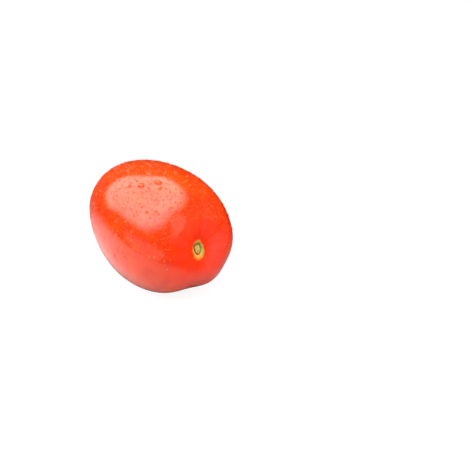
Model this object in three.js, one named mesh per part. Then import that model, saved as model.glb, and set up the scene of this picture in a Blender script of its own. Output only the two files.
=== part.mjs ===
// A ripe plum tomato, picked off its vine without its calyx and lying on its side.
// Units are millimetres, +Z is up. The stem end points to +X and the blossom end to -X.
// The origin is on the surface that the fruit lies on, under the middle of its bounding box.
// The whole fruit is one closed body: a squarish, lobed stem end with a sunk corky scar, a belly
// that is slightly oval and three-sided, a tapering blossom end with a small brown tip, and a
// small flat spot where the ripe flesh gives under its own weight.

import * as THREE from 'three';

// Driving dimensions of the body, measured from its widest section.
const BODY_RADIUS = 27;
const STEM_REACH = 28.6;
const BLOSSOM_REACH = 43.7;
// Exponents of the profile: 2 is an ellipse, more is squarer and less is more pointed.
const STEM_SQUARENESS = 2.36;
const BLOSSOM_SQUARENESS = 2.03;

// The section: waves round it, each as a share of the radius, with the direction of a crest.
// Twist is how far a crest turns from the widest section to the stem end.
const SECTION_WAVES = [
  { crests: 2, share: 0.0217, azimuth: 135, twist: 0 },
  { crests: 3, share: 0.0305, azimuth: -19.5, twist: -17 },
  { crests: 4, share: 0.008, azimuth: 54.6, twist: 0 },
];

// The stem end leans: it is moved sideways and down, and its face is sheared along the axis.
const LEAN = { y: 1.55, z: -0.27, starts: 11.6, softness: 5.8 };
const FACE_SLOPE = { y: -0.0135, z: -0.165 };

// Furrows that run from the scar over the shoulders and fade on the belly.
// Azimuth is about the axis, from +Y towards +Z. Depth is a share of the local radius.
const FURROWS = [
  { azimuth: 20, depth: 0.01, halfWidth: 18 },
  { azimuth: 90, depth: 0.016, halfWidth: 15 },
  { azimuth: 152, depth: 0.012, halfWidth: 20 },
  { azimuth: 266, depth: 0.061, halfWidth: 15 },
  { azimuth: 320, depth: 0.037, halfWidth: 16 },
];
const FURROW_DEEPEST_AT = 48;
const FURROW_REACH = 24;

// The hollow at the stem end. The scar sits low on one wall of it, so the hollow is off centre.
const STEM_HOLLOW = { depth: 3, radius: 8.7, y: 2.5, z: 1.4 };

// The stem scar: a corky pad, a ring crack and a low collar, all round the same uneven oval.
const SCAR_PAD = { rise: 0.4, radius: 1.3 };
const SCAR_RING = { depth: 0.5, radius: 2, halfWidth: 0.45 };
const SCAR_COLLAR = { rise: 0.25, radius: 3.1, halfWidth: 0.8 };
const SCAR_OUTLINE = [
  { crests: 2, share: 0.14, azimuth: 97 },
  { crests: 3, share: 0.05, azimuth: 20 },
  { crests: 5, share: 0.03, azimuth: 60 },
];

// The brown tip at the blossom end: a pinhole in a low nipple.
const TIP_NIPPLE = { rise: 0.7, radius: 4.5 };
const TIP_PIT = { depth: 0.4, radius: 1.1 };

// How the fruit lies: its stem end is tipped up, and its underside gives way to a flat spot.
const STEM_TIPPED_UP = 5;
const FLAT_SPOT_DEPTH = 0.5;

// The mesh: evenly spaced rings over the stem scar, which follow its outline, then rings to the
// blossom end that are closer together at both ends.
const SCAR_RINGS = 12;
const SCAR_SPREAD = 8.3;
const OUTLINE_FADES_AT = 14;
const BODY_RINGS = 46;
const CLOSER_AT_ENDS = 0.11;
const SEGMENTS = 72;

const radians = THREE.MathUtils.degToRad;

// A smooth hump that is 1 at distance 0.
const hump = (distance, width) => Math.exp(-((distance / width) ** 2));

// Eases from -1 to 1 as c does, with no slope at either end.
const ease = (c) => 0.5 * c * (3 - c * c);

// Distance from the body's middle to its surface, before any furrow, at an angle from the axis.
function profileRadius(cosine, sine) {
  const towardsStem = 0.5 * (1 + ease(cosine));
  const inverseReach = Math.sqrt(
    (1 - towardsStem) / BLOSSOM_REACH ** 2 + towardsStem / STEM_REACH ** 2,
  );
  const power = THREE.MathUtils.lerp(BLOSSOM_SQUARENESS, STEM_SQUARENESS, towardsStem);
  const sum = (Math.abs(cosine) * inverseReach) ** power + (sine / BODY_RADIUS) ** power;
  return sum ** (-1 / power);
}

// A sum of waves round the axis, for a list of crests, shares and azimuths.
function waveSum(waves, azimuth, turnShare = 0, fade = () => 1) {
  return waves.reduce((sum, wave) => {
    const crestAt = radians(wave.azimuth + turnShare * (wave.twist ?? 0));
    return sum + wave.share * fade(wave.crests) * Math.cos(wave.crests * (azimuth - crestAt));
  }, 0);
}

// The section's waves, which die away at the poles, the ones with more crests sooner.
function sectionFactor(cosine, sine, azimuth) {
  return 1 + waveSum(SECTION_WAVES, azimuth, cosine, (crests) => sine ** crests);
}

// The product of all furrows at a point.
function furrowFactor(polar, azimuth) {
  const along = hump(polar - radians(FURROW_DEEPEST_AT), radians(FURROW_REACH));
  return FURROWS.reduce((factor, furrow) => {
    const turn = Math.cos(azimuth - radians(furrow.azimuth)) - 1;
    const across = Math.exp(turn / radians(furrow.halfWidth) ** 2);
    return factor * (1 - furrow.depth * across * along);
  }, 1);
}

// Relief of the stem scar along the axis, at a distance from its centre.
function scarRelief(distance, azimuth) {
  const even = distance / (1 + waveSum(SCAR_OUTLINE, azimuth));
  return (
    SCAR_PAD.rise * hump(even, SCAR_PAD.radius) -
    SCAR_RING.depth * hump(even - SCAR_RING.radius, SCAR_RING.halfWidth) +
    SCAR_COLLAR.rise * hump(even - SCAR_COLLAR.radius, SCAR_COLLAR.halfWidth)
  );
}

// A point of the skin: polar is the angle from the stem pole, azimuth the angle about the axis.
function skinPoint(polar, azimuth) {
  const cosine = Math.cos(polar);
  const sine = Math.sin(polar);
  const smooth = profileRadius(cosine, sine) * sectionFactor(cosine, sine, azimuth);
  const reach = smooth * furrowFactor(polar, azimuth);
  const across = reach * sine;
  const y = across * Math.cos(azimuth);
  const z = across * Math.sin(azimuth);
  let x = reach * cosine;
  if (cosine > 0) {
    const fromHollow = Math.hypot(y - STEM_HOLLOW.y, z - STEM_HOLLOW.z);
    x -= STEM_HOLLOW.depth * hump(fromHollow, STEM_HOLLOW.radius);
    x += scarRelief(across, azimuth);
  } else {
    x -= TIP_NIPPLE.rise * hump(across, TIP_NIPPLE.radius);
    x += TIP_PIT.depth * hump(across, TIP_PIT.radius);
  }
  const lean = 1 / (1 + Math.exp(-(x - LEAN.starts) / LEAN.softness));
  return [
    x + lean * (FACE_SLOPE.y * y + FACE_SLOPE.z * z),
    y + lean * LEAN.y,
    z + lean * LEAN.z,
  ];
}

// The polar angle of a ring, counted from the stem pole.
function ringAngle(ring) {
  const spread = radians(SCAR_SPREAD);
  if (ring <= SCAR_RINGS) {
    return (spread * ring) / SCAR_RINGS;
  }
  const share = (ring - SCAR_RINGS) / BODY_RINGS;
  return spread + (Math.PI - spread) * (share - CLOSER_AT_ENDS * Math.sin(2 * Math.PI * share));
}

// A closed mesh: one vertex at each pole, and rings of SEGMENTS vertices between them.
function skinGeometry() {
  const rings = SCAR_RINGS + BODY_RINGS;
  const points = [skinPoint(0, 0)];
  for (let ring = 1; ring < rings; ring++) {
    const angle = ringAngle(ring);
    const follow = hump(angle, radians(OUTLINE_FADES_AT));
    for (let segment = 0; segment < SEGMENTS; segment++) {
      const azimuth = (2 * Math.PI * segment) / SEGMENTS;
      points.push(skinPoint(angle * (1 + follow * waveSum(SCAR_OUTLINE, azimuth)), azimuth));
    }
  }
  points.push(skinPoint(Math.PI, 0));

  const stemPole = 0;
  const blossomPole = points.length - 1;
  const vertex = (ring, segment) => 1 + (ring - 1) * SEGMENTS + (segment % SEGMENTS);
  const faces = [];
  for (let segment = 0; segment < SEGMENTS; segment++) {
    faces.push(stemPole, vertex(1, segment), vertex(1, segment + 1));
    for (let ring = 1; ring < rings - 1; ring++) {
      const [a, b] = [vertex(ring, segment), vertex(ring, segment + 1)];
      const [c, d] = [vertex(ring + 1, segment), vertex(ring + 1, segment + 1)];
      faces.push(a, c, d, a, d, b);
    }
    faces.push(blossomPole, vertex(rings - 1, segment + 1), vertex(rings - 1, segment));
  }
  const geometry = new THREE.BufferGeometry();
  geometry.setAttribute('position', new THREE.Float32BufferAttribute(points.flat(), 3));
  geometry.setIndex(faces);
  return geometry;
}

// Tips the fruit, centres it over the origin, and presses its flat spot onto the surface.
function layDown(geometry) {
  geometry.rotateY(-radians(STEM_TIPPED_UP));
  geometry.computeBoundingBox();
  const { min, max } = geometry.boundingBox;
  geometry.translate(
    -(min.x + max.x) / 2,
    -(min.y + max.y) / 2,
    -min.z - FLAT_SPOT_DEPTH,
  );
  const position = geometry.getAttribute('position');
  for (let i = 0; i < position.count; i++) {
    position.setZ(i, Math.max(position.getZ(i), 0));
  }
  geometry.computeVertexNormals();
  return geometry;
}

const skin = new THREE.MeshStandardMaterial({ color: 0xd8260f, roughness: 0.22, metalness: 0 });
const tomato = new THREE.Mesh(layDown(skinGeometry()), skin);
tomato.name = 'tomato';

const part = new THREE.Group();
part.add(tomato);

export default part;
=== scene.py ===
# One ripe plum tomato, freshly rinsed, lying on its side on a plain white table.
import math

import bpy
import numpy as np
from mathutils import Matrix, Vector


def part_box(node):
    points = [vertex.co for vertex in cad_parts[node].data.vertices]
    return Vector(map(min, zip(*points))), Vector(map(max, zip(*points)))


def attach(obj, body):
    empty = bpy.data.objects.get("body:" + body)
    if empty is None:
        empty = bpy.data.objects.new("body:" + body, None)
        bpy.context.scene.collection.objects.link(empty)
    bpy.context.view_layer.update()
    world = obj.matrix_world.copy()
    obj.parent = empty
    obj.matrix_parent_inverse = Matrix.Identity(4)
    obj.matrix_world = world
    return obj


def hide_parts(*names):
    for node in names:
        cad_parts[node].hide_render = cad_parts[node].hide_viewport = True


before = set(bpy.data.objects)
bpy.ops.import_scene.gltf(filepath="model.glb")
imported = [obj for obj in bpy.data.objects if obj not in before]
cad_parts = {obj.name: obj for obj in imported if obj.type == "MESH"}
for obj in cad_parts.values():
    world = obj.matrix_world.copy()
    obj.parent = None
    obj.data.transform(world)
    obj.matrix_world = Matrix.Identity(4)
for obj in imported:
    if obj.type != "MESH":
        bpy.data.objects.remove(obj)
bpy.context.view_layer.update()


# The fruit: a plum tomato grown in one piece, with a thin waxy skin over firm red flesh.
# Its calyx has come off, which leaves a corky scar with a ring crack in the hollow of the
# lobed stem end. The blossom end tapers to a small brown tip. It rests on a small flat spot.
MM = 0.001
BODY_RADIUS = 27
STEM_REACH = 28.6
BLOSSOM_REACH = 43.7
STEM_SQUARENESS = 2.36
BLOSSOM_SQUARENESS = 2.03
# Waves round the section: crests, share of the radius, azimuth of a crest, twist at the stem end.
SECTION_WAVES = [(2, 0.0217, 135, 0), (3, 0.0305, -19.5, -17), (4, 0.008, 54.6, 0)]
LEAN_Y, LEAN_Z = 1.55, -0.27
LEAN_STARTS, LEAN_SOFTNESS = 11.6, 5.8
FACE_SLOPE_Y, FACE_SLOPE_Z = -0.0135, -0.165
# Furrows over the shoulders: azimuth, depth as a share of the radius, half width.
FURROWS = [
    (20, 0.01, 18),
    (90, 0.016, 15),
    (152, 0.012, 20),
    (266, 0.061, 15),
    (320, 0.037, 16),
]
FURROW_DEEPEST_AT, FURROW_REACH = 48, 24
HOLLOW_DEPTH, HOLLOW_RADIUS = 3, 8.7
HOLLOW_Y, HOLLOW_Z = 2.5, 1.4
PAD_RISE, PAD_RADIUS = 0.4, 1.3
CRACK_DEPTH, CRACK_RADIUS, CRACK_HALF_WIDTH = 0.5, 2, 0.45
COLLAR_RISE, COLLAR_RADIUS, COLLAR_HALF_WIDTH = 0.25, 3.1, 0.8
# The scar's uneven oval outline: crests, share of the radius, azimuth of a crest, no twist.
SCAR_OUTLINE = [(2, 0.14, 97, 0), (3, 0.05, 20, 0), (5, 0.03, 60, 0)]
NIPPLE_RISE, NIPPLE_RADIUS = 0.7, 4.5
PIT_DEPTH, PIT_RADIUS = 0.4, 1.1
STEM_TIPPED_UP = 5
FLAT_SPOT_DEPTH = 0.5

# Fine relief that the solid leaves out.
WRINKLES, WRINKLE_RISE, WRINKLE_RADIUS, WRINKLE_REACH = 17, 0.05, 4.2, 1.6
# How the wrinkles bunch up round the scar: bunches, and how far each moves them.
WRINKLE_BUNCHES = [(3, 2.2), (5, 1.4)]
CORK_GRAIN_RISE, CORK_GRAIN_PITCH, CORK_GRAIN_SEED = 0.07, 0.55, 5
SWELL_RISE, SWELL_PITCH, SWELL_SEED = 0.07, 11, 11
# The waves that an uneven field is made of, and how much shorter or longer than its pitch.
RIPPLE_WAVES, RIPPLE_SHORTEST, RIPPLE_LONGEST = 5, 0.7, 1.4

# The skin's grid: rings that follow the scar's outline, then rings over the body.
SCAR_RINGS, SCAR_SPREAD, OUTLINE_FADES_AT = 40, 8.3, 14
BODY_RINGS, CLOSER_AT_ENDS = 205, 0.11
SEGMENTS = 360


def hump(distance, width):
    """A smooth hump: e to the power of minus the square of distance over width."""
    return np.exp(-((distance / width) ** 2))


def wave_sum(waves, azimuth, turn_share=0, fade=lambda crests: 1):
    """The sum of share times cosine of crests times the angle from a crest, over all waves."""
    total = 0
    for crests, share, crest_at, twist in waves:
        angle = azimuth - np.radians(crest_at + twist * turn_share)
        total = total + share * fade(crests) * np.cos(crests * angle)
    return total


def profile_radius(cosine, sine):
    """Distance from the body's middle to its surface: an ellipse whose reach and whose exponent
    pass smoothly from the blossom end's to the stem end's."""
    towards_stem = 0.5 * (1 + 0.5 * cosine * (3 - cosine**2))
    inverse_reach = np.sqrt(
        (1 - towards_stem) / BLOSSOM_REACH**2 + towards_stem / STEM_REACH**2
    )
    power = BLOSSOM_SQUARENESS + (STEM_SQUARENESS - BLOSSOM_SQUARENESS) * towards_stem
    total = (np.abs(cosine) * inverse_reach) ** power + (sine / BODY_RADIUS) ** power
    return total ** (-1 / power)


def furrow_factor(polar, azimuth):
    """One minus depth times a hump across and a hump along, multiplied over all furrows."""
    along = hump(polar - math.radians(FURROW_DEEPEST_AT), math.radians(FURROW_REACH))
    factor = 1
    for furrow_at, depth, half_width in FURROWS:
        turn = np.cos(azimuth - math.radians(furrow_at)) - 1
        factor = factor * (1 - depth * along * np.exp(turn / math.radians(half_width) ** 2))
    return factor


def ripple(points, pitch, seed):
    """A smooth uneven field from -1 to 1: the average of a few sine waves of about one pitch,
    each with its own seeded direction, length and start."""
    draw = np.random.default_rng(seed)
    total = 0
    for _ in range(RIPPLE_WAVES):
        direction = draw.normal(size=3)
        direction /= np.linalg.norm(direction)
        length = pitch * draw.uniform(RIPPLE_SHORTEST, RIPPLE_LONGEST)
        along = points @ direction * (2 * math.pi / length)
        total = total + np.sin(along + draw.uniform(0, 2 * math.pi))
    return total / RIPPLE_WAVES


def scar_relief(distance, azimuth, y, z):
    """Height along the axis: a raised pad of cork grain, minus a ring crack, plus a collar
    with fine wrinkles that run outwards from it. A wrinkle is a cosine of the angle round the
    axis, and the bunches are sines added to that angle."""
    even = distance / (1 + wave_sum(SCAR_OUTLINE, azimuth))
    pad = PAD_RISE * hump(even, PAD_RADIUS)
    crack = CRACK_DEPTH * hump(even - CRACK_RADIUS, CRACK_HALF_WIDTH)
    collar = COLLAR_RISE * hump(even - COLLAR_RADIUS, COLLAR_HALF_WIDTH)
    around = WRINKLES * azimuth
    for bunches, shift in WRINKLE_BUNCHES:
        around = around + shift * np.sin(bunches * azimuth)
    wrinkles = WRINKLE_RISE * np.cos(around) * hump(even - WRINKLE_RADIUS, WRINKLE_REACH)
    grain = ripple(np.stack([y, z, 0 * y], -1), CORK_GRAIN_PITCH, CORK_GRAIN_SEED)
    cork = CORK_GRAIN_RISE * grain * hump(even, CRACK_RADIUS)
    return pad - crack + collar + wrinkles + cork


def body_points(polar, azimuth):
    """The skin in the body's own frame: profile radius times section waves times furrows, with
    the stem hollow, scar and blossom tip added along the axis. The stem end is leant over, and
    an uneven field swells the skin a little away from the axis."""
    cosine, sine = np.cos(polar), np.sin(polar)
    waves = wave_sum(SECTION_WAVES, azimuth, cosine, lambda crests: sine**crests)
    reach = profile_radius(cosine, sine) * (1 + waves) * furrow_factor(polar, azimuth)
    across = reach * sine
    y, z = across * np.cos(azimuth), across * np.sin(azimuth)
    x = reach * cosine
    from_hollow = np.hypot(y - HOLLOW_Y, z - HOLLOW_Z)
    stem_end = scar_relief(across, azimuth, y, z) - HOLLOW_DEPTH * hump(from_hollow, HOLLOW_RADIUS)
    tip_end = PIT_DEPTH * hump(across, PIT_RADIUS) - NIPPLE_RISE * hump(across, NIPPLE_RADIUS)
    x = x + np.where(cosine > 0, stem_end, tip_end)
    lean = 1 / (1 + np.exp(-(x - LEAN_STARTS) / LEAN_SOFTNESS))
    x = x + lean * (FACE_SLOPE_Y * y + FACE_SLOPE_Z * z)
    y, z = y + lean * LEAN_Y, z + lean * LEAN_Z
    field = ripple(np.stack([x, y, z], -1), SWELL_PITCH, SWELL_SEED)
    swell = field * SWELL_RISE / BODY_RADIUS * sine
    return np.stack([x, y * (1 + swell), z * (1 + swell)], -1)


def tip_up(points):
    """Turns points about Y so that the stem end, at +X, rises."""
    angle = math.radians(STEM_TIPPED_UP)
    turn = np.array([
        [math.cos(angle), 0, math.sin(angle)],
        [0, 1, 0],
        [-math.sin(angle), 0, math.cos(angle)],
    ])
    return points @ turn


def ring_angles():
    """Polar angles: even steps over the scar, then steps that are smaller at both ends."""
    spread = math.radians(SCAR_SPREAD)
    over_scar = spread * np.arange(1, SCAR_RINGS + 1) / SCAR_RINGS
    share = np.arange(1, BODY_RINGS) / BODY_RINGS
    eased = share - CLOSER_AT_ENDS * np.sin(2 * math.pi * share)
    return np.concatenate([over_scar, spread + (math.pi - spread) * eased])


angles = ring_angles()
turns = 2 * math.pi * np.arange(SEGMENTS) / SEGMENTS
ring_angle, azimuth = np.meshgrid(angles, turns, indexing="ij")
follow = hump(ring_angle, math.radians(OUTLINE_FADES_AT))
polar = ring_angle * (1 + follow * wave_sum(SCAR_OUTLINE, azimuth))
# The two poles are one vertex each, first and last.
polar_list = np.concatenate([[0], polar.ravel(), [math.pi]])
azimuth_list = np.concatenate([[0], azimuth.ravel(), [0]])
tipped = tip_up(body_points(polar_list, azimuth_list))

node_low, node_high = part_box("tomato")
node_middle = (np.array(node_low) + np.array(node_high)) / 2 / MM
to_table = node_middle - (tipped.min(0) + tipped.max(0)) / 2
to_table[2] = -FLAT_SPOT_DEPTH - tipped[:, 2].min()


def on_table(points):
    """Points in the body's frame, in metres on the table, with the flat spot pressed at z = 0."""
    laid = tip_up(points) + to_table
    laid[..., 2] = np.maximum(laid[..., 2], 0)
    return laid * MM


def closed_grid_faces(rings, segments, count=1):
    """Faces of one or more like grids that close at a pole before their first ring and after
    their last. First come the fans at the first poles, then the quads, then the last fans."""
    here = np.arange(segments)
    after = (here + 1) % segments
    last_pole = 1 + rings * segments
    last_ring = last_pole - segments
    first_fan = np.stack([0 * here, 1 + here, 1 + after], -1)
    last_fan = np.stack([0 * here + last_pole, last_ring + after, last_ring + here], -1)
    ring_starts = 1 + segments * np.arange(rings - 1)[:, None]
    corners = [here, segments + here, segments + after, after]
    quads = np.stack([ring_starts + corner for corner in corners], -1).reshape(-1, 4)
    starts = (last_pole + 1) * np.arange(count)[:, None, None]
    faces = []
    for group in (first_fan, quads, last_fan):
        faces += (starts + group).reshape(-1, group.shape[1]).tolist()
    return faces


def new_piece(name, points, faces):
    """A smooth mesh object at the origin, from points in metres."""
    mesh = bpy.data.meshes.new(name)
    mesh.from_pydata(points.tolist(), [], faces)
    mesh.polygons.foreach_set("use_smooth", [True] * len(mesh.polygons))
    mesh.update()
    piece = bpy.data.objects.new(name, mesh)
    bpy.context.scene.collection.objects.link(piece)
    return piece


def store(piece, name, values):
    """Keeps one number or one vector per vertex, for the material to read."""
    kind, field = ("FLOAT", "value") if values.ndim == 1 else ("FLOAT_VECTOR", "vector")
    layer = piece.data.attributes.new(name, kind, "POINT")
    layer.data.foreach_set(field, values.ravel().astype(np.float32))


fruit = new_piece(
    "tomato_skin",
    on_table(body_points(polar_list, azimuth_list)),
    closed_grid_faces(len(angles), SEGMENTS),
)
cosine_list, sine_list = np.cos(polar_list), np.sin(polar_list)
across_list = profile_radius(cosine_list, sine_list) * sine_list
outline_list = 1 + wave_sum(SCAR_OUTLINE, azimuth_list)
# Distances from the axis in mm, which the colours follow. The other end counts as far away.
FAR_AWAY = 60.0
store(fruit, "from_stem", np.where(cosine_list > 0, across_list, FAR_AWAY))
store(fruit, "from_scar", np.where(cosine_list > 0, across_list / outline_list, FAR_AWAY))
store(fruit, "from_tip", np.where(cosine_list < 0, across_list, FAR_AWAY))
around_axis = [np.cos(azimuth_list), np.sin(azimuth_list), polar_list]
store(fruit, "around", np.stack(around_axis, -1))
# The pale halo round the scar is an oval that lies a little aside of it: 1 at its rim.
HALO_Y, HALO_Z, HALO_HALF_WIDTH, HALO_HALF_HEIGHT = 0.1, -0.45, 3.0, 4.1
halo_y = (across_list * np.cos(azimuth_list) - HALO_Y) / HALO_HALF_WIDTH
halo_z = (across_list * np.sin(azimuth_list) - HALO_Z) / HALO_HALF_HEIGHT
store(fruit, "halo", np.where(cosine_list > 0, np.hypot(halo_y, halo_z), FAR_AWAY))

RED = (0.52, 0.0175, 0.0008)
ORANGE_RED = (0.59, 0.044, 0.0012)
STREAK = (0.60, 0.055, 0.044)
FLECK = (0.85, 0.20, 0.03)
HALO_GREEN = (0.25, 0.235, 0.045)
HALO_ORANGE = (0.55, 0.19, 0.03)
CORK = (0.42, 0.33, 0.10)
CORK_DARK = (0.22, 0.15, 0.035)
CRACK_OLIVE_AND_SHADE = (0.11, 0.065, 0.004)
TIP_BROWN = (0.14, 0.06, 0.015)
# Patterns on the skin: waves a metre, and the levels between which each one comes in.
DRIFT_SCALE, DRIFT_LEVELS = 38, (0.35, 0.7)
MOTTLE_SCALE, MOTTLE_LEVELS = 210, (0.35, 0.65)
FLECK_SCALE, FLECK_LEVELS = 850, (0.16, 0.07)
FLECK_PATCH_SCALE, FLECK_PATCH_LEVELS = 300, (0.45, 0.65)
CORK_SCALE, CORK_LEVELS = 2600, (0.42, 0.62)
RAGGED_SCALE, PEEL_SCALE = 900, 1500
# The streaks' waves are drawn out along the fruit.
STREAK_STRETCH, STREAK_SCALE, STREAK_LEVELS = (2, 2, 0.5), 1.5, (0.25, 0.72)
# How much of each pattern shows. The least is at the stem, or on the side towards -Y.
DRIFT_SHARE, MOTTLE_SHARE, ORANGE_LEAST = 0.65, 0.5, 0.2
STREAK_LEAST, STREAK_MORE, STREAK_SIDE = 0.2, 0.45, (-0.2, 0.8)
FLECK_SHARE, TIP_PALE_SHARE = 0.4, 0.6
# Where a colour or rough skin starts and where it is full, in mm from the stem, scar or tip.
ORANGE_FROM_STEM = (6, 22)
STREAKS_FROM_BELLY, STREAKS_FROM_STEM = (25, 6), (3, 8)
CORK_FROM_SCAR, ROUGH_FROM_SCAR = (1.75, 1.35), (2.9, 2.4)
PALE_FROM_TIP, BROWN_FROM_TIP, ROUGH_FROM_TIP = (3.2, 1.2), (1.3, 0.8), (1.3, 0.9)
# The crack's dark olive, partly its own colour and partly painted shade of the groove, lies a
# little inside its deepest line.
CRACK_INWARDS, CRACK_EDGE = 0.15, (0.42, 0.18)
# The halo's edge, as a share of its size, and the slant of its greener side.
HALO_EDGE, HALO_SLANT, HALO_GREENER = (1.15, 0.75), 0.35, (-0.3, 0.6)
# How ragged the edges are: the noise is centred and stretched, and then each edge takes a share.
RAGGED_MIDDLE, RAGGED_STRETCH = 0.5, 2.4
HALO_RAGGED, CRACK_RAGGED, TIP_RAGGED = 0.25, 0.22, 0.3
SKIN_ROUGHNESS, CORK_ROUGHER, WAX = 0.14, 0.5, 0.35
PEEL_HEIGHT, RELIEF_DEPTH, RELIEF_STRENGTH = 0.06, 0.15 * MM, 0.6
LIGHT_REACH_IN_FLESH = 2.6 * MM


class Nodes:
    """Adds nodes to a material's tree, with each input given as a value or as a socket."""

    def __init__(self, name):
        self.material = bpy.data.materials.new(name)
        self.material.use_nodes = True
        self.tree = self.material.node_tree
        self.tree.nodes.clear()

    def add(self, kind, inputs=None, **settings):
        node = self.tree.nodes.new("ShaderNode" + kind)
        for key, value in settings.items():
            setattr(node, key, value)
        for key, value in (inputs or {}).items():
            self.set(node.inputs[key], value)
        return node

    def set(self, socket, value):
        if isinstance(value, bpy.types.NodeSocket):
            self.tree.links.new(value, socket)
        elif socket.type == "RGBA":
            socket.default_value = (*value, 1)
        else:
            socket.default_value = value

    def stored(self, name, output="Fac"):
        return self.add("Attribute", attribute_name=name).outputs[output]

    def maths(self, operation, *values):
        node = self.add("Math", operation=operation)
        for socket, value in zip(node.inputs, values):
            self.set(socket, value)
        return node.outputs[0]

    def ramp(self, value, low, high):
        """0 at low and 1 at high, eased."""
        limits = {"Value": value, "From Min": low, "From Max": high}
        node = self.add("MapRange", limits, interpolation_type="SMOOTHSTEP")
        return node.outputs["Result"]

    def noise(self, vector, scale, detail=2.0, roughness=0.5):
        inputs = {"Vector": vector, "Scale": scale, "Detail": detail, "Roughness": roughness}
        return self.add("TexNoise", inputs).outputs["Fac"]

    def mix(self, share, a, b):
        """Colour a where share is 0 and colour b where it is 1."""
        node = self.add("Mix", data_type="RGBA")
        for index, value in ((0, share), (6, a), (7, b)):
            self.set(node.inputs[index], value)
        return node.outputs[2]


def skin_material():
    """Red skin with a drift towards orange, streaks that run out from the stem, pale flecks, and
    the colours of the halo, the cracked scar and the blossom tip by distance. The dark of the
    scar's crack is partly its own colour and partly painted shade."""
    n = Nodes("tomato skin")
    place = n.add("TexCoord").outputs["Object"]
    around = n.stored("around", "Vector")
    from_stem, from_scar = n.stored("from_stem"), n.stored("from_scar")
    from_tip = n.stored("from_tip")

    drift = n.ramp(n.noise(place, DRIFT_SCALE), *DRIFT_LEVELS)
    mottle = n.ramp(n.noise(place, MOTTLE_SCALE, 3), *MOTTLE_LEVELS)
    drift = n.maths("MULTIPLY_ADD", mottle, MOTTLE_SHARE, n.maths("MULTIPLY", drift, DRIFT_SHARE))
    off_stem = n.ramp(from_stem, *ORANGE_FROM_STEM)
    off_stem = n.maths("MULTIPLY_ADD", off_stem, 1 - ORANGE_LEAST, ORANGE_LEAST)
    colour = n.mix(n.maths("MULTIPLY", drift, off_stem), RED, ORANGE_RED)

    stretched = n.add("Mapping", {"Vector": around, "Scale": STREAK_STRETCH}).outputs[0]
    streaks = n.ramp(n.noise(stretched, STREAK_SCALE), *STREAK_LEVELS)
    for fade in (STREAKS_FROM_BELLY, STREAKS_FROM_STEM):
        streaks = n.maths("MULTIPLY", streaks, n.ramp(from_stem, *fade))
    direction = n.add("SeparateXYZ", {"Vector": around})
    streak_side = n.ramp(direction.outputs["X"], *STREAK_SIDE)
    streak_side = n.maths("MULTIPLY_ADD", streak_side, STREAK_MORE, STREAK_LEAST)
    colour = n.mix(n.maths("MULTIPLY", streaks, streak_side), colour, STREAK)

    cells = n.add("TexVoronoi", {"Vector": place, "Scale": FLECK_SCALE, "Randomness": 1})
    fleck = n.ramp(cells.outputs["Distance"], *FLECK_LEVELS)
    fleck_patch = n.ramp(n.noise(place, FLECK_PATCH_SCALE, 1), *FLECK_PATCH_LEVELS)
    fleck_share = n.maths("MULTIPLY", n.maths("MULTIPLY", fleck, fleck_patch), FLECK_SHARE)
    colour = n.mix(fleck_share, colour, FLECK)

    ragged = n.maths("SUBTRACT", n.noise(place, RAGGED_SCALE, 3), RAGGED_MIDDLE)
    ragged = n.maths("MULTIPLY", ragged, RAGGED_STRETCH)
    halo_distance = n.maths("MULTIPLY_ADD", ragged, HALO_RAGGED, n.stored("halo"))
    slanted = n.maths("MULTIPLY_ADD", direction.outputs["Y"], HALO_SLANT, direction.outputs["X"])
    halo_colour = n.mix(n.ramp(slanted, *HALO_GREENER), HALO_ORANGE, HALO_GREEN)
    colour = n.mix(n.ramp(halo_distance, *HALO_EDGE), colour, halo_colour)

    crack_distance = n.maths("MULTIPLY_ADD", ragged, CRACK_RAGGED, from_scar)
    cork_grain = n.noise(place, CORK_SCALE, 3, 0.65)
    cork = n.mix(n.ramp(cork_grain, *CORK_LEVELS), CORK_DARK, CORK)
    colour = n.mix(n.ramp(crack_distance, *CORK_FROM_SCAR), colour, cork)
    # The crack's ring: dark olive, partly the crack's own colour and partly painted shade in the
    # groove.
    from_crack = n.maths("SUBTRACT", crack_distance, CRACK_RADIUS - CRACK_INWARDS)
    from_crack = n.maths("ABSOLUTE", from_crack)
    colour = n.mix(n.ramp(from_crack, *CRACK_EDGE), colour, CRACK_OLIVE_AND_SHADE)

    tip_distance = n.maths("MULTIPLY_ADD", ragged, TIP_RAGGED, from_tip)
    pale = n.maths("MULTIPLY", n.ramp(tip_distance, *PALE_FROM_TIP), TIP_PALE_SHARE)
    colour = n.mix(pale, colour, HALO_ORANGE)
    colour = n.mix(n.ramp(tip_distance, *BROWN_FROM_TIP), colour, TIP_BROWN)

    rough_scar = n.ramp(crack_distance, *ROUGH_FROM_SCAR)
    corky = n.maths("MAXIMUM", rough_scar, n.ramp(tip_distance, *ROUGH_FROM_TIP))
    roughness = n.maths("MULTIPLY_ADD", corky, CORK_ROUGHER, SKIN_ROUGHNESS)
    waxy = n.maths("MULTIPLY_ADD", corky, -WAX, WAX)

    peel = n.noise(place, PEEL_SCALE)
    grain_height = n.maths("MULTIPLY", cork_grain, corky)
    height = n.maths("MULTIPLY_ADD", peel, PEEL_HEIGHT, grain_height)
    bump = n.add("Bump", {
        "Height": height,
        "Distance": RELIEF_DEPTH,
        "Strength": RELIEF_STRENGTH,
    })

    shader = n.add("BsdfPrincipled", {
        "Base Color": colour,
        "Roughness": roughness,
        "Coat Weight": waxy,
        "Coat Roughness": 0.08,
        "Coat IOR": 1.45,
        "IOR": 1.45,
        "Subsurface Weight": 0.55,
        "Subsurface Radius": (1.0, 0.22, 0.08),
        "Subsurface Scale": LIGHT_REACH_IN_FLESH,
        "Normal": bump.outputs["Normal"],
    })
    n.add("OutputMaterial", {"Surface": shader.outputs["BSDF"]})
    return n.material


fruit.data.materials.append(skin_material())
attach(fruit, "root")
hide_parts("tomato")


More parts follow.
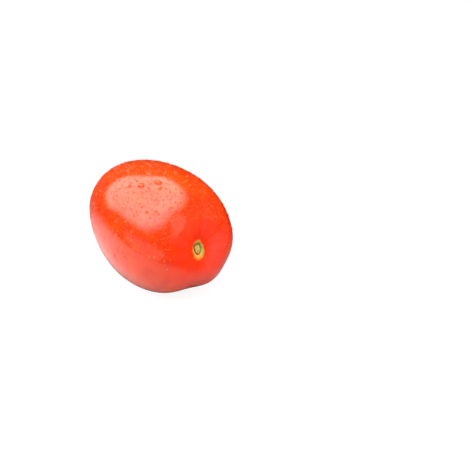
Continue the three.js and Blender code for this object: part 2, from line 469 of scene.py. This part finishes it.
# The water: beads left from rinsing, which sit on the skin with a steep edge.
# Fine mist lies thickest on the upper half. A few larger beads have run together near the top.
# The angle at which water stands on waxy skin, and how far a drop is lifted off it, in mm.
CONTACT_ANGLE = 68
LIFT = 0.012
# Larger beads: polar angle and azimuth on the fruit in degrees, then their half width level
# with the table and up the skin in mm.
BEADS = np.array([
    (77.6, 117, 1.55, 1.35),
    (87.7, 123, 0.95, 0.9),
    (68.6, 104.5, 1.9, 1.25),
    (61.7, 107.5, 0.95, 0.95),
    (84.4, 103.5, 1.6, 1.2),
    (79, 90, 0.75, 0.7),
    (74.7, 82.5, 0.8, 0.7),
    (129.5, 146.5, 0.8, 0.75),
    (81.5, 156, 0.8, 0.8),
    (69.6, 152, 0.7, 0.7),
    (55.2, 134, 0.9, 0.75),
    (49.1, 128, 0.8, 0.7),
    (61.7, 132, 0.6, 0.6),
    (61.7, 158.5, 0.55, 0.65),
    (59.5, 165.5, 0.5, 0.6),
    (57, 174.5, 0.45, 0.6),
    (126, 34, 1.3, 1.1),
    (110, 16, 1.0, 0.9),
    (136, 50, 1.4, 1.2),
    (94, 6, 0.9, 1.1),
    (122, 8, 0.7, 0.9),
])
BEAD_SEED, BEAD_UNEVEN, BEAD_CLEARANCE = 4, 0.06, 1.25
BEAD_RINGS, BEAD_FOOT_RINGS, BEAD_SEGMENTS = 10, 9, 28
MIST_SEED, MIST_DRAWS = 20, 23000
MIST_RADIUS, MIST_SPREAD = 0.29, 0.36
MIST_SMALLEST, MIST_LARGEST = 0.18, 0.66
MIST_LONGER, MIST_UNEVEN, MIST_CLEARANCE = (0.85, 1.15), 0.05, 1.15
MIST_RINGS, MIST_FOOT_RINGS, MIST_SEGMENTS = 3, 0, 8
# The mist keeps off both ends of the fruit, by polar angle, and off its lowest part, in mm.
MIST_STEM_LIMIT, MIST_TIP_LIMIT, MIST_LOWEST = 26, 172, 11
# The upward part of the skin's normal where half the draws are kept, how softly the share
# changes there, and how far patches of thin and thick mist move it.
MIST_HALF_AT, MIST_SOFTNESS = 0.25, 0.1
PATCH_STRENGTH, PATCH_PITCH, PATCH_SEED = 0.25, 16, 3
# The spray came from the front: the share of it that reached the skin behind, and how squarely
# the skin faces the spray where that share starts to grow and where it is whole.
SPRAY_FROM = np.array([0.50, -0.60, 0.62])
MIST_BEHIND, SPRAY_THIN_AT, SPRAY_FULL_AT = 0.15, 0.15, 0.60
# Two guards against dividing by nearly nothing, and the quantile of room that counts as full.
LEAST_LENGTH, LEAST_SINE, FULL_ROOM = 1e-6, 0.05, 0.98
# The angle from which an edge, such as a drop's rim, is shown sharp.
SHARP_FROM = 60


def surface_at(polar, azimuth):
    """Places on the fruit in mm, with the outward normal and the two slopes of the grid."""
    step = 1e-4
    here = on_table(body_points(polar, azimuth)) / MM
    along = (on_table(body_points(polar + step, azimuth)) / MM - here) / step
    across = (on_table(body_points(polar, azimuth + step)) / MM - here) / step
    normal = np.cross(along, across)
    normal /= np.linalg.norm(normal, axis=-1, keepdims=True)
    return here, normal, along, across


def drop_points(polar, azimuth, wide, tall, uneven, rings, segments):
    """Domes on the skin, and their feet. A drop is a spherical cap stretched to its half widths:
    each ring is laid on the skin round the drop's middle and raised along the normal by the
    cap's height. Waves of two and three crests make its outline uneven."""
    contact = math.radians(CONTACT_ANGLE)
    tilt = contact * np.arange(rings + 1) / rings
    share = np.sin(tilt) / math.sin(contact)
    rise = (np.cos(tilt) - math.cos(contact)) / (1 - math.cos(contact))
    turn = 2 * math.pi * np.arange(segments) / segments
    _, normal, along, across = surface_at(polar, azimuth)

    level = np.cross([0, 0, 1], normal)
    level /= np.maximum(np.linalg.norm(level, axis=-1, keepdims=True), LEAST_LENGTH)
    uphill = np.cross(normal, level)
    outline = 1 + uneven[:, 0:1] * np.cos(2 * turn) + uneven[:, 1:2] * np.cos(3 * turn + 1)
    outline = outline + uneven[:, 2:3] * np.sin(2 * turn)
    aside = wide[:, None, None] * (share[None, :, None] * (outline * np.cos(turn))[:, None, :])
    up = tall[:, None, None] * (share[None, :, None] * (outline * np.sin(turn))[:, None, :])

    offset = aside[..., None] * level[:, None, None] + up[..., None] * uphill[:, None, None]
    slopes = np.stack([along, across], -1)
    steps = np.einsum("nik,nrsk->nrsi", np.linalg.pinv(slopes), offset)
    laid = on_table(body_points(
        polar[:, None, None] + steps[..., 0], azimuth[:, None, None] + steps[..., 1]
    )) / MM
    height = np.sqrt(wide * tall) * math.tan(contact / 2)
    raised = height[:, None, None] * rise[None, :, None] + LIFT
    dome = laid + normal[:, None, None] * raised[..., None]
    foot = laid + normal[:, None, None] * LIFT
    return dome, foot


def drops(name, polar, azimuth, wide, tall, uneven, rings, foot_rings, segments):
    """One piece that holds many drops. Each is closed: rings down its dome to the rim, and then
    rings inwards over its foot on the skin. The foot's faces take the second material."""
    dome, foot = drop_points(polar, azimuth, wide, tall, uneven, rings, segments)
    count = len(polar)
    all_rings = rings + foot_rings
    rows = [dome[:, :1, 0], dome[:, 1:].reshape(count, -1, 3)]
    rows += [foot[:, foot_rings:0:-1].reshape(count, -1, 3), foot[:, :1, 0]]
    points = np.concatenate(rows, 1).reshape(-1, 3) * MM
    piece = new_piece(name, points, closed_grid_faces(all_rings, segments, count))
    quads_on_foot = np.repeat(np.arange(all_rings - 1) >= rings - 1, segments)
    fans_on_dome = np.zeros(count * segments, bool)
    on_foot = np.concatenate([fans_on_dome, np.tile(quads_on_foot, count), ~fans_on_dome])
    piece.data.polygons.foreach_set("material_index", on_foot.astype(np.int32))
    piece.data.set_sharp_from_angle(angle=math.radians(SHARP_FROM))
    return piece


def mist():
    """Seeded draws spread evenly over the skin, kept more often high up and towards the spray,
    and dropped where an earlier draw or a bead is too near. The share that is kept rises with
    the upward part of the normal along an S curve. Gives the numbers that drops() takes."""
    draw = np.random.default_rng(MIST_SEED)
    polar = np.arccos(draw.uniform(-1, 1, MIST_DRAWS))
    azimuth = draw.uniform(0, 2 * math.pi, MIST_DRAWS)
    radius = MIST_RADIUS * np.exp(MIST_SPREAD * draw.normal(size=MIST_DRAWS))
    radius = np.clip(radius, MIST_SMALLEST, MIST_LARGEST)
    place, normal, along, across = surface_at(polar, azimuth)
    # The skin's area for each even step of direction, so that roomy skin keeps more draws.
    area = np.linalg.norm(np.cross(along, across), axis=-1)
    room = area / np.maximum(np.sin(polar), LEAST_SINE)
    room /= np.quantile(room, FULL_ROOM)

    patches = ripple(place, PATCH_PITCH, PATCH_SEED)
    upward = normal[:, 2] - MIST_HALF_AT + PATCH_STRENGTH * patches
    wanted = 1 / (1 + np.exp(-upward / MIST_SOFTNESS))
    wanted = wanted * (polar > math.radians(MIST_STEM_LIMIT))
    wanted = wanted * (polar < math.radians(MIST_TIP_LIMIT))
    wanted = wanted * (place[:, 2] > MIST_LOWEST)
    sprayed = (normal @ SPRAY_FROM - SPRAY_THIN_AT) / (SPRAY_FULL_AT - SPRAY_THIN_AT)
    wanted = wanted * (MIST_BEHIND + (1 - MIST_BEHIND) * np.clip(sprayed, 0, 1))
    keep = draw.uniform(size=MIST_DRAWS) < room * wanted
    polar, azimuth, radius, place = (v[keep] for v in (polar, azimuth, radius, place))

    beads_at = surface_at(*np.radians(BEADS[:, :2]).T)[0]
    from_bead = np.linalg.norm(place[:, None] - beads_at[None], axis=-1)
    free = (from_bead > radius[:, None] + BEADS[None, :, 2] * BEAD_CLEARANCE).all(1)
    square = (place**2).sum(-1)
    gap_squared = square[:, None] + square[None] - 2 * place @ place.T
    near = gap_squared < (MIST_CLEARANCE * (radius[:, None] + radius[None])) ** 2
    free &= ~np.tril(near, -1).any(1)
    polar, azimuth, radius = polar[free], azimuth[free], radius[free]
    longer = draw.uniform(*MIST_LONGER, len(radius))
    uneven = draw.normal(scale=MIST_UNEVEN, size=(len(radius), 3))
    return polar, azimuth, radius * longer, radius / longer, uneven


def water_material():
    """Clear water with smooth faces."""
    n = Nodes("water")
    shader = n.add("BsdfPrincipled", {
        "Base Color": (1, 1, 1),
        "Roughness": 0.0,
        "IOR": 1.333,
        "Transmission Weight": 1.0,
    })
    n.add("OutputMaterial", {"Surface": shader.outputs["BSDF"]})
    return n.material


# Colours of the skin under the drops: painted shade and painted light from the water over it, a
# deeper red and a more orange tone than the dry skin.
WET_RED_PAINTED_LIGHT, WET_ORANGE_PAINTED_LIGHT, WET_DRIFT_SCALE = (0.48, 0.036, 0.003), (0.58, 0.068, 0.005), 400


def wet_skin_material():
    """The skin under a drop: it has next to no reflection of its own there. Its colour, a deeper
    red and more orange than the dry skin, is painted shade and painted light from the water over
    it.
    """
    n = Nodes("wet skin with painted light")
    place = n.add("TexCoord").outputs["Object"]
    colour = n.mix(n.noise(place, WET_DRIFT_SCALE), WET_RED_PAINTED_LIGHT, WET_ORANGE_PAINTED_LIGHT)
    shader = n.add("BsdfPrincipled", {
        "Base Color": colour,
        "Roughness": 0.6,
        "Specular IOR Level": 0.05,
    })
    n.add("OutputMaterial", {"Surface": shader.outputs["BSDF"]})
    return n.material


water, wet_skin = water_material(), wet_skin_material()
bead_draw = np.random.default_rng(BEAD_SEED)
beads = drops(
    "water_beads",
    *np.radians(BEADS[:, :2]).T,
    *BEADS[:, 2:].T,
    bead_draw.normal(scale=BEAD_UNEVEN, size=(len(BEADS), 3)),
    BEAD_RINGS,
    BEAD_FOOT_RINGS,
    BEAD_SEGMENTS,
)
fine_drops = drops("water_mist", *mist(), MIST_RINGS, MIST_FOOT_RINGS, MIST_SEGMENTS)
for piece in (beads, fine_drops):
    piece.data.materials.append(water)
    piece.data.materials.append(wet_skin)
    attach(piece, "root")


# The table: a small light table of translucent white board, lit from above and from below, so that
# it stays pale. It shines most in front of the fruit, its glow is dimmed round the fruit's foot as
# a painted shadow, and it fades out into the white of the studio.
BOARD_HALF_WIDTH = 0.17
BOARD_MIDDLE = (0.020, -0.060, 0)
BOARD_SOLID_TO, BOARD_GONE_AT = 0.055, 0.155
BOARD_WHITE = (0.165, 0.170, 0.195)
# The faint drift of its tone: waves a metre, and how dark it gets.
BOARD_DRIFT_SCALE, BOARD_DRIFT = 12, 0.97
BOARD_SEEN = 0.86
BOARD_GLOW = 0.95
GLOW_MIDDLE = (0.010, -0.100, 0)
GLOW_FULL_TO, GLOW_GONE_AT = 0.010, 0.165
# A painted shadow in the glow: an oval round the foot, long along X as the fruit is, dark out to
# the first distance and gone at the second.
PAINTED_SHADOW_FULL_TO, PAINTED_SHADOW_GONE_AT, OVAL_LENGTH = 0.014, 0.032, 1.7


def board_material():
    """Matt white with a very faint drift of tone, clear beyond its edge. The camera sees it glow
    evenly. The fruit is lit by a glow that fades away from its middle, and is dimmed round the
    foot into a painted shadow."""
    n = Nodes("light table")
    place = n.add("TexCoord").outputs["Object"]
    darker = tuple(BOARD_DRIFT * part for part in BOARD_WHITE)
    colour = n.mix(n.noise(place, BOARD_DRIFT_SCALE, 3), BOARD_WHITE, darker)
    shortened = n.add("Mapping", {"Vector": place, "Scale": (1 / OVAL_LENGTH, 1, 1)}).outputs[0]
    from_foot = n.add("VectorMath", {0: shortened}, operation="LENGTH").outputs["Value"]
    from_glow = n.add("VectorMath", {0: place, 1: GLOW_MIDDLE}, operation="DISTANCE")
    near_glow = n.ramp(from_glow.outputs["Value"], GLOW_GONE_AT, GLOW_FULL_TO)
    # The glow is dimmed round the foot: a painted shadow, which the fruit sees in its reflections
    # and underside.
    unshadowed_glow = n.maths("MULTIPLY", n.ramp(from_foot, PAINTED_SHADOW_FULL_TO, PAINTED_SHADOW_GONE_AT), near_glow)
    glow = n.maths("MULTIPLY", unshadowed_glow, BOARD_GLOW)
    seen = n.maths("MULTIPLY", n.add("LightPath").outputs["Is Camera Ray"], BOARD_SEEN)
    shader = n.add("BsdfPrincipled", {
        "Base Color": colour,
        "Roughness": 0.7,
        "Emission Color": (1, 1, 1),
        "Emission Strength": n.maths("MAXIMUM", glow, seen),
    })
    from_middle = n.add("VectorMath", {0: place, 1: BOARD_MIDDLE}, operation="DISTANCE")
    clear = n.ramp(from_middle.outputs["Value"], BOARD_SOLID_TO, BOARD_GONE_AT)
    nothing = n.add("BsdfTransparent")
    edge = n.add("MixShader", {0: clear, 1: shader.outputs[0], 2: nothing.outputs[0]})
    n.add("OutputMaterial", {"Surface": edge.outputs[0]})
    return n.material


corners = BOARD_HALF_WIDTH * np.array([[-1, -1, 0], [1, -1, 0], [1, 1, 0], [-1, 1, 0]])
board = new_piece("board", corners + BOARD_MIDDLE, [[0, 1, 2, 3]])
board.data.materials.append(board_material())


# The light: one large warm softbox over the fruit, with a long wing to the left, a low white
# card in front, a lamp at the right, and a matt fill at the right and in front. The studio round
# them is dark, but past the board it shows as white.
WARM_WHITE = (1.0, 0.97, 0.85)
SOFTBOX_TOWARDS = Vector((-0.243, -0.356, 0.902)).normalized()
SOFTBOX_DISTANCE = 0.5
# The softbox's outline in its own plane: across and up in metres, and its brightness there.
SOFTBOX_OUTLINE = [
    (-1.32, -0.33, 0.5),
    (-1.29, -0.11, 0.5),
    (-0.97, 0.07, 0.55),
    (-0.37, 0.27, 0.8),
    (-0.13, 0.48, 1.05),
    (0.11, 0.61, 1.15),
    (0.39, 0.71, 1.15),
    (0.69, 0.62, 1.1),
    (0.73, -0.30, 1.1),
    (0.39, -0.54, 1.15),
    (0.09, -0.56, 1.05),
    (-0.52, -0.51, 0.8),
    (-1.15, -0.59, 0.5),
]
SOFTBOX_RADIANCE = 5.4
CARD_TOWARDS, CARD_DISTANCE = Vector((0.375, -0.927, 0)), 0.35
CARD_HEIGHT, CARD_WIDTH, CARD_RADIANCE = 0.16, 0.62, 1.2
LAMP_TOWARDS, LAMP_DISTANCE = Vector((0.84, 0.10, 0.53)).normalized(), 0.8
LAMP_SIZE, LAMP_RADIANCE = 0.50, 1.5
# Two matt fills, which light the skin but don't show as reflections: direction and radiance.
FILL_DISTANCE, FILL_SIZE = 0.8, 0.9
FILLS = {
    "right_fill": (Vector((0.74, 0.62, 0.30)), 6.6),
    "front_fill": (Vector((0.30, -0.95, -0.05)), 5.0),
}
# Where a panel's brightness starts to fade and where it is gone, as shares of its outline.
FADES_FROM, FADES_TO = 0.71, 1.18
OVAL_POINTS = 16
ROOM_DARK, ROOM_WHITE = 0.02, 1.0
body_middle = Vector(to_table * MM)


def glow_material(name, radiance):
    """Warm light, bright over the middle and fading to nothing at the rim."""
    n = Nodes(name)
    strength = n.maths("MULTIPLY", n.stored("bright"), radiance)
    glow = n.add("Emission", {"Color": WARM_WHITE, "Strength": strength})
    n.add("OutputMaterial", {"Surface": glow.outputs[0]})
    return n.material


def light_panel(name, towards, distance, outline, radiance):
    """A flat panel that looks at the fruit from a direction: its outline drawn smaller round its
    centre, filled, and a rim from there to the same outline drawn larger. The outline's first
    number runs square to +Y, which is upright where the panel stands upright."""
    across = Vector((0, 1, 0)).cross(towards).normalized()
    up = towards.cross(across)
    flat = np.array(outline)[:, :2]
    centre = flat.mean(0)
    rings = np.concatenate([centre + (flat - centre) * size for size in (FADES_FROM, FADES_TO)])
    points = np.array(body_middle + distance * towards) + rings @ np.array([across, up])
    count = len(flat)
    inner = list(range(count))
    rim = [[i, i + count, (i + 1) % count + count, (i + 1) % count] for i in inner]
    panel = new_piece(name, points, [inner] + rim)
    store(panel, "bright", np.concatenate([np.array(outline)[:, 2], np.zeros(count)]))
    panel.data.materials.append(glow_material(name, radiance))
    panel.visible_camera = False
    return panel


def oval(first, second):
    """Evenly bright points round an oval: half of one size times cosine, and half of the other
    times sine."""
    turn = 2 * math.pi * np.arange(OVAL_POINTS) / OVAL_POINTS
    bright = np.ones(OVAL_POINTS)
    return np.stack([first / 2 * np.cos(turn), second / 2 * np.sin(turn), bright], -1)


light_panel("softbox", SOFTBOX_TOWARDS, SOFTBOX_DISTANCE, SOFTBOX_OUTLINE, SOFTBOX_RADIANCE)
light_panel("card", CARD_TOWARDS, CARD_DISTANCE, oval(CARD_HEIGHT, CARD_WIDTH), CARD_RADIANCE)
light_panel("lamp", LAMP_TOWARDS, LAMP_DISTANCE, oval(LAMP_SIZE, LAMP_SIZE), LAMP_RADIANCE)
for fill_name, (towards, radiance) in FILLS.items():
    outline = oval(FILL_SIZE, FILL_SIZE)
    fill = light_panel(fill_name, towards.normalized(), FILL_DISTANCE, outline, radiance)
    fill.visible_glossy = False

# The studio itself: nearly dark for the fruit, and white where the camera sees past the board.
world = bpy.data.worlds.new("studio")
bpy.context.scene.world = world
world.use_nodes = True
studio = world.node_tree
studio.nodes.clear()
seen = studio.nodes.new("ShaderNodeLightPath")
around_room = studio.nodes.new("ShaderNodeBackground")
around_room.inputs["Strength"].default_value = ROOM_DARK
past_board = studio.nodes.new("ShaderNodeBackground")
past_board.inputs["Strength"].default_value = ROOM_WHITE
for background in (around_room, past_board):
    background.inputs["Color"].default_value = (1, 1, 1, 1)
choice = studio.nodes.new("ShaderNodeMixShader")
sky = studio.nodes.new("ShaderNodeOutputWorld")
studio.links.new(seen.outputs["Is Camera Ray"], choice.inputs[0])
studio.links.new(around_room.outputs[0], choice.inputs[1])
studio.links.new(past_board.outputs[0], choice.inputs[2])
studio.links.new(choice.outputs[0], sky.inputs["Surface"])

scene = bpy.context.scene
scene.view_settings.view_transform = "Standard"
scene.view_settings.look = "None"


# The camera: 30 degrees above the fruit, off its stem end, with the fruit left of the middle.
CAMERA_AZIMUTH, CAMERA_ELEVATION = 59.5, 30
CAMERA_DISTANCE = 578.6 * MM
CAMERA_NEAREST, CAMERA_FARTHEST = 0.01, 20
SENSOR_WIDTH = 36
PICTURE_WIDTH = 473
FOCAL_PIXELS = 1352.6
# The pixel, from the picture's top left, where the middle of the fruit's body falls.
BODY_PIXEL_X, BODY_PIXEL_Y = 162.8, 227.2

turn, rise = math.radians(CAMERA_AZIMUTH), math.radians(CAMERA_ELEVATION)
backwards = Vector((
    math.sin(turn) * math.cos(rise),
    -math.cos(turn) * math.cos(rise),
    math.sin(rise),
))
rightwards = Vector((math.cos(turn), math.sin(turn), 0))
facing = Matrix((rightwards, backwards.cross(rightwards), backwards)).transposed()
pan = -math.atan((PICTURE_WIDTH / 2 - BODY_PIXEL_X) / FOCAL_PIXELS)
dip = math.atan((BODY_PIXEL_Y - PICTURE_WIDTH / 2) / FOCAL_PIXELS)
facing = facing @ Matrix.Rotation(pan, 3, "Y") @ Matrix.Rotation(dip, 3, "X")

camera = bpy.data.objects.new("camera", bpy.data.cameras.new("camera"))
scene.collection.objects.link(camera)
camera.data.sensor_width = SENSOR_WIDTH
camera.data.lens = SENSOR_WIDTH * FOCAL_PIXELS / PICTURE_WIDTH
camera.data.clip_start, camera.data.clip_end = CAMERA_NEAREST, CAMERA_FARTHEST
camera.matrix_world = (
    Matrix.Translation(body_middle + CAMERA_DISTANCE * backwards) @ facing.to_4x4()
)
scene.camera = camera
